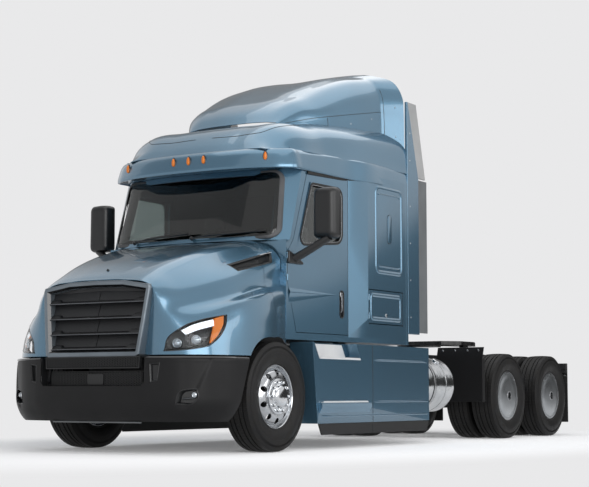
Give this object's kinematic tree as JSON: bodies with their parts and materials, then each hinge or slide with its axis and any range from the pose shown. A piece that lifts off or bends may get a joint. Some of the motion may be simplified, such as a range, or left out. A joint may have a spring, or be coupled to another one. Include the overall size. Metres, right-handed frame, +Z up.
{
  "type": "semi truck tractor unit",
  "caption": "Conventional semi truck tractor with a tilting hood, sleeper cab, roof air fairing, side fairings, tandem drive axles and a rocking fifth wheel.",
  "frame": {"origin": "on the ground, at the middle of the overall length and on the centre plane", "axes": "+X forward, +Y to the driver's left, +Z up"},
  "size_m": [8.31, 3, 4.045],
  "materials": {
    "black_plastic": "satin black plastic",
    "body_paint": "metallic steel-blue gloss paint",
    "bumper_plastic": "moulded charcoal plastic",
    "bunk_fabric": "quilted grey mattress cloth",
    "cast_grey": "rough cast iron",
    "chassis_black": "semi-gloss black chassis paint",
    "grille_plastic": "satin dark grey plastic",
    "lamp_lens": "clear moulded lens",
    "rubber": "matt black flexible rubber",
    "seat_fabric": "woven grey seat cloth",
    "tank_aluminium": "polished sheet aluminium",
    "tread_aluminium": "satin tread plate",
    "trim_grey": "grained grey interior plastic",
    "tyre_rubber": "matt black rubber",
    "wheel_aluminium": "polished forged aluminium",
    "window_glass": "tinted safety glass"
  },
  "bodies": {
    "truck": {"air_springs": "rubber", "arch_liners": "black_plastic", "bumper": "bumper_plastic", "bunk": "bunk_fabric", "cab_frame": "body_paint", "chassis_brackets": "chassis_black", "chassis_fairings": "body_paint", "cowl": "body_paint", "cross_members": "chassis_black", "dashboard": "trim_grey", "deck_plate": "tread_aluminium", "drive_axles": "chassis_black", "driveline": "cast_grey", "engine_block": "cast_grey", "extender_edges": "rubber", "fairing_skirts": "rubber", "fifth_wheel_stands": "chassis_black", "frame_rails": "chassis_black", "fuel_tanks": "tank_aluminium", "leaf_springs": "chassis_black", "mud_flaps": "rubber", "quarter_fenders": "black_plastic", "roof_cap": "body_paint", "roof_fairing": "body_paint", "seats": "seat_fabric", "side_extenders": "body_paint", "sleeper_back": "body_paint", "sleeper_sides": "body_paint", "steer_axle_beam": "chassis_black", "steering_wheel": "black_plastic", "trailing_arms": "chassis_black", "windscreen": "window_glass"},
    "hood": {"hood": "body_paint", "grille": "grille_plastic", "headlamps": "lamp_lens"},
    "door_left": {"door_left": "body_paint", "door_glass_left": "window_glass", "mirror_left": "black_plastic"},
    "door_right": {"door_right": "body_paint", "door_glass_right": "window_glass", "mirror_right": "black_plastic"},
    "baggage_door_left": {"baggage_door_left": "body_paint"},
    "baggage_door_right": {"baggage_door_right": "body_paint"},
    "fifth_wheel_plate": {"fifth_wheel_plate": "cast_grey"},
    "knuckle_left": {"knuckle_left": "cast_grey"},
    "knuckle_right": {"knuckle_right": "cast_grey"},
    "tie_rod": {"tie_rod": "chassis_black"},
    "steer_wheel_left": {"steer_wheel_left": "wheel_aluminium", "steer_tyre_left": "tyre_rubber"},
    "drive_wheel_forward_left": {"drive_wheel_forward_left": "wheel_aluminium", "drive_tyres_forward_left": "tyre_rubber"},
    "drive_wheel_rear_left": {"drive_wheel_rear_left": "wheel_aluminium", "drive_tyres_rear_left": "tyre_rubber"},
    "steer_wheel_right": {"steer_wheel_right": "wheel_aluminium", "steer_tyre_right": "tyre_rubber"},
    "drive_wheel_forward_right": {"drive_wheel_forward_right": "wheel_aluminium", "drive_tyres_forward_right": "tyre_rubber"},
    "drive_wheel_rear_right": {"drive_wheel_rear_right": "wheel_aluminium", "drive_tyres_rear_right": "tyre_rubber"}
  },
  "joints": [
    {"name": "hood_tilt", "type": "hinge", "parent": "truck", "child": "hood", "pos_m": [4.035, 0, 0.65], "axis": [0, 1, 0], "range_deg": [0, 60]},
    {"name": "door_left_hinge", "type": "hinge", "parent": "truck", "child": "door_left", "pos_m": [2.533, 1.067, 1.75], "axis": [0, 0, -1], "range_deg": [0, 70]},
    {"name": "baggage_door_left_hinge", "type": "hinge", "parent": "truck", "child": "baggage_door_left", "pos_m": [1.175, 1.195, 1.4], "axis": [0, 0, -1], "range_deg": [0, 100]},
    {"name": "door_right_hinge", "type": "hinge", "parent": "truck", "child": "door_right", "pos_m": [2.533, -1.067, 1.75], "axis": [0, 0, 1], "range_deg": [0, 70]},
    {"name": "baggage_door_right_hinge", "type": "hinge", "parent": "truck", "child": "baggage_door_right", "pos_m": [1.175, -1.195, 1.4], "axis": [0, 0, 1], "range_deg": [0, 100]},
    {"name": "steer_left", "type": "hinge", "parent": "truck", "child": "knuckle_left", "pos_m": [2.885, 0.9, 0.509], "axis": [0, 0, 1], "range_deg": [-40, 40]},
    {"name": "steer_right", "type": "hinge", "parent": "truck", "child": "knuckle_right", "pos_m": [2.885, -0.9, 0.509], "axis": [0, 0, 1], "range_deg": [-40, 40]},
    {"name": "tie_rod_swing", "type": "hinge", "parent": "knuckle_left", "child": "tie_rod", "pos_m": [2.705, 0.9, 0.41], "axis": [0, 0, 1], "range_deg": [-40, 40]},
    {"name": "steer_wheel_left_spin", "type": "hinge", "parent": "knuckle_left", "child": "steer_wheel_left", "pos_m": [2.885, 1.046, 0.509], "axis": [0, 1, 0], "continuous": true},
    {"name": "drive_wheel_forward_left_spin", "type": "hinge", "parent": "truck", "child": "drive_wheel_forward_left", "pos_m": [-2.235, 0.923, 0.509], "axis": [0, 1, 0], "continuous": true},
    {"name": "drive_wheel_rear_left_spin", "type": "hinge", "parent": "truck", "child": "drive_wheel_rear_left", "pos_m": [-3.555, 0.923, 0.509], "axis": [0, 1, 0], "continuous": true},
    {"name": "steer_wheel_right_spin", "type": "hinge", "parent": "knuckle_right", "child": "steer_wheel_right", "pos_m": [2.885, -1.046, 0.509], "axis": [0, 1, 0], "continuous": true},
    {"name": "drive_wheel_forward_right_spin", "type": "hinge", "parent": "truck", "child": "drive_wheel_forward_right", "pos_m": [-2.235, -0.923, 0.509], "axis": [0, 1, 0], "continuous": true},
    {"name": "drive_wheel_rear_right_spin", "type": "hinge", "parent": "truck", "child": "drive_wheel_rear_right", "pos_m": [-3.555, -0.923, 0.509], "axis": [0, 1, 0], "continuous": true},
    {"name": "fifth_wheel_rock", "type": "hinge", "parent": "truck", "child": "fifth_wheel_plate", "pos_m": [-2.765, 0, 1.09], "axis": [0, 1, 0], "range_deg": [-12, 12]}
  ],
  "couplings": [
    {"joint": "steer_right", "follows": "steer_left", "ratio": 1},
    {"joint": "tie_rod_swing", "follows": "steer_left", "ratio": -1}
  ]
}
